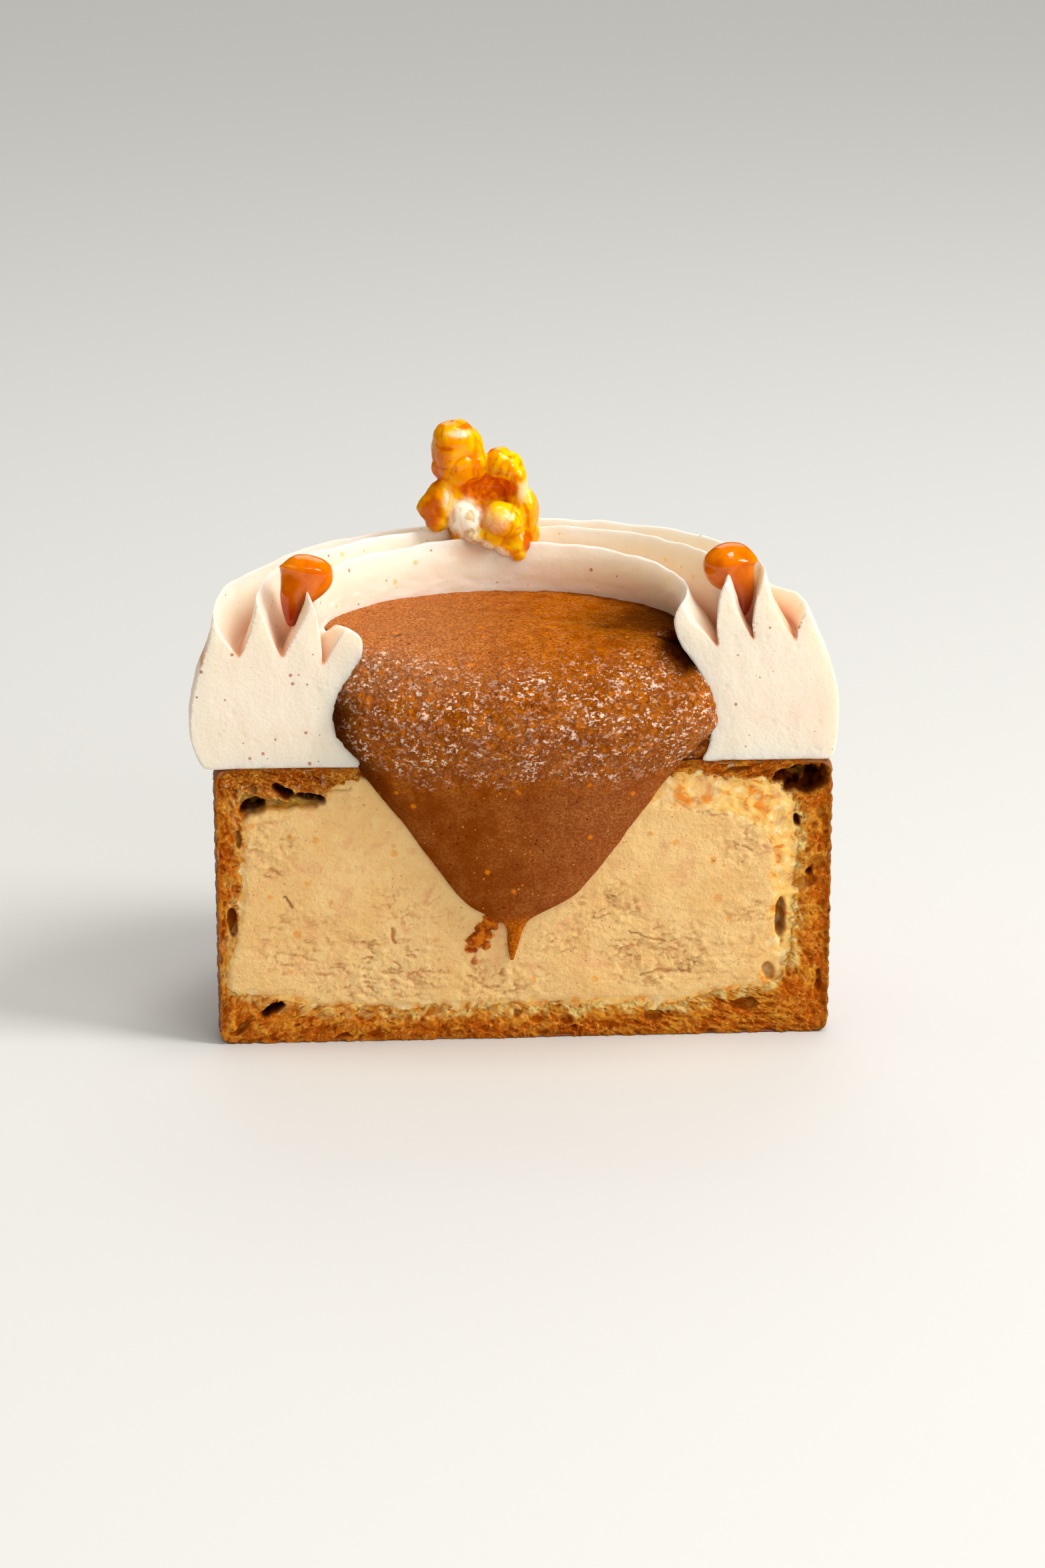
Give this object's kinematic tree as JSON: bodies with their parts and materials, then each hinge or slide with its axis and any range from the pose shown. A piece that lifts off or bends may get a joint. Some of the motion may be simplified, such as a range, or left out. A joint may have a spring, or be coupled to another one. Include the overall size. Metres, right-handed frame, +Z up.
{
  "type": "half of a round cream-filled choux cake",
  "caption": "Round choux cake cut in half, filled with praline cream, with a piped cream ring, a well of praline running down the cut, caramel beads and caramel popcorn.",
  "frame": {"origin": "middle of the bounding box's foot, on the surface the cake stands on", "axes": "+X to the right along the cut as seen facing it, +Y away from the viewer into the cake, +Z up; the cut face looks along -Y"},
  "size_m": [0.084, 0.0514, 0.0758],
  "materials": {
    "crust": "porous browned choux crust, darker outside and in its bubbles",
    "mousseline": "tan praline cream, torn matte by the knife",
    "cream": "ivory whipped cream with fine vanilla and nut specks, satin",
    "praline": "grainy nut praline, wet and glossy",
    "caramel": "glossy soft caramel",
    "popcorn": "popcorn in a clear amber caramel coat"
  },
  "bodies": {
    "root": {"choux_shell": "crust", "filling": "mousseline", "cream_ring": "cream", "praline": "praline", "caramel_drop_left": "caramel", "caramel_drop_right": "caramel", "popcorn": "popcorn"}
  },
  "joints": []
}
